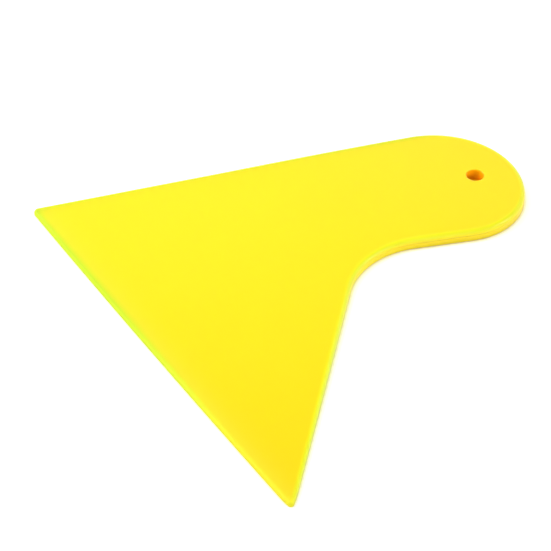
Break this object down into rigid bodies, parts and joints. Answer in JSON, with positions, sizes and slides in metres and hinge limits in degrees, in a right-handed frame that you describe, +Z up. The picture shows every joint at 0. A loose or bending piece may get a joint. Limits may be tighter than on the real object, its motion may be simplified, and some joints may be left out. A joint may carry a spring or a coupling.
{
  "type": "squeegee applicator",
  "caption": "Flat one-piece plastic squeegee applicator with a fan-shaped tapered blade, an offset round-ended grip and a hanging hole, for pressing down vinyl film.",
  "frame": {"origin": "on the underside, below the middle of the tool's bounding box, with the tool lying flat", "axes": "+Z up through the plate's thickness, X along the straight working edge, +Y from the working edge towards the grip"},
  "size_m": [0.1524, 0.1436, 0.004],
  "materials": {
    "yellow_plastic": "satin moulded, slightly translucent"
  },
  "bodies": {
    "root": {"squeegee_body": "yellow_plastic"}
  },
  "joints": []
}
